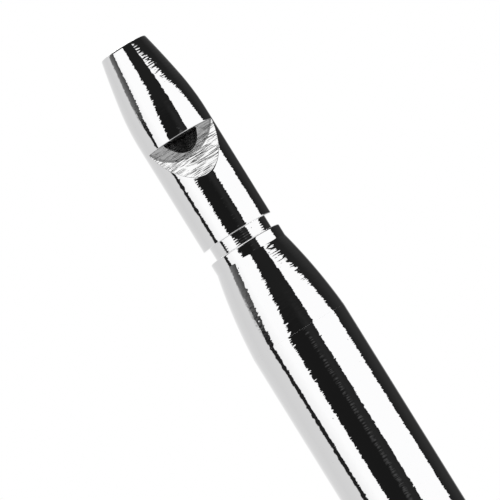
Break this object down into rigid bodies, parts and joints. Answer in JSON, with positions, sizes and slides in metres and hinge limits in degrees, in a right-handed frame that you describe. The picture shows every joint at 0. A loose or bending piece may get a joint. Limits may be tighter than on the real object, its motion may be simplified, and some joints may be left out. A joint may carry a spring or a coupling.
{
  "type": "training whistle",
  "caption": "Slim plated silent training whistle: tapered head with a slanted sound slot, tuning screw and lock nut under a flared pull-off cap, split ring at the tail.",
  "frame": {"origin": "on the axis, halfway along the straight barrel of the cap, where it is held", "axes": "+Z along the axis towards the mouth, -Y out of the sound window, +X to the right of the window"},
  "size_m": [0.016, 0.011, 0.0961],
  "materials": {
    "plated_barrel": "polished nickel plate over brass",
    "plug_brass": "turned brass",
    "piston_brass": "turned brass",
    "seal_rubber": "black nitrile rubber",
    "screw_brass": "threaded brass",
    "knob_brass": "knurled brass",
    "nut_brass": "knurled brass",
    "plated_ferrule": "polished nickel plate over brass",
    "plated_tube": "polished nickel plate over brass",
    "plated_tail": "polished nickel plate over brass",
    "ring_steel": "nickel plated spring steel"
  },
  "bodies": {
    "barrel": {"whistle_barrel": "plated_barrel", "fipple_plug": "plug_brass"},
    "piston": {"tuning_piston": "piston_brass", "piston_seal": "seal_rubber"},
    "screw": {"tuning_screw": "screw_brass", "tuning_knob": "knob_brass"},
    "nut": {"lock_nut": "nut_brass"},
    "cap": {"cap_ferrule": "plated_ferrule", "cap_tube": "plated_tube", "tail_plug": "plated_tail"},
    "ring": {"split_ring": "ring_steel"}
  },
  "joints": [
    {"name": "screw_travel", "type": "slide", "parent": "barrel", "child": "piston", "axis": [0, 0, 1], "range_m": [-0.003, 0.003]},
    {"name": "screw_turn", "type": "hinge", "parent": "piston", "child": "screw", "pos_m": [0, 0, 0], "axis": [0, 0, 1], "range_deg": [-2161, 2161]},
    {"name": "nut_back_off", "type": "slide", "parent": "barrel", "child": "nut", "axis": [0, 0, -1], "range_m": [0, 0.0015]},
    {"name": "cap_pull", "type": "slide", "parent": "barrel", "child": "cap", "axis": [0, 0, -1], "range_m": [0, 0.048]},
    {"name": "ring_swing", "type": "hinge", "parent": "cap", "child": "ring", "pos_m": [0, 0, -0.0263], "axis": [1, 0, 0], "range_deg": [-120, 120]}
  ],
  "couplings": [
    {"joint": "screw_turn", "follows": "screw_travel", "rad_per_m": 12566}
  ]
}
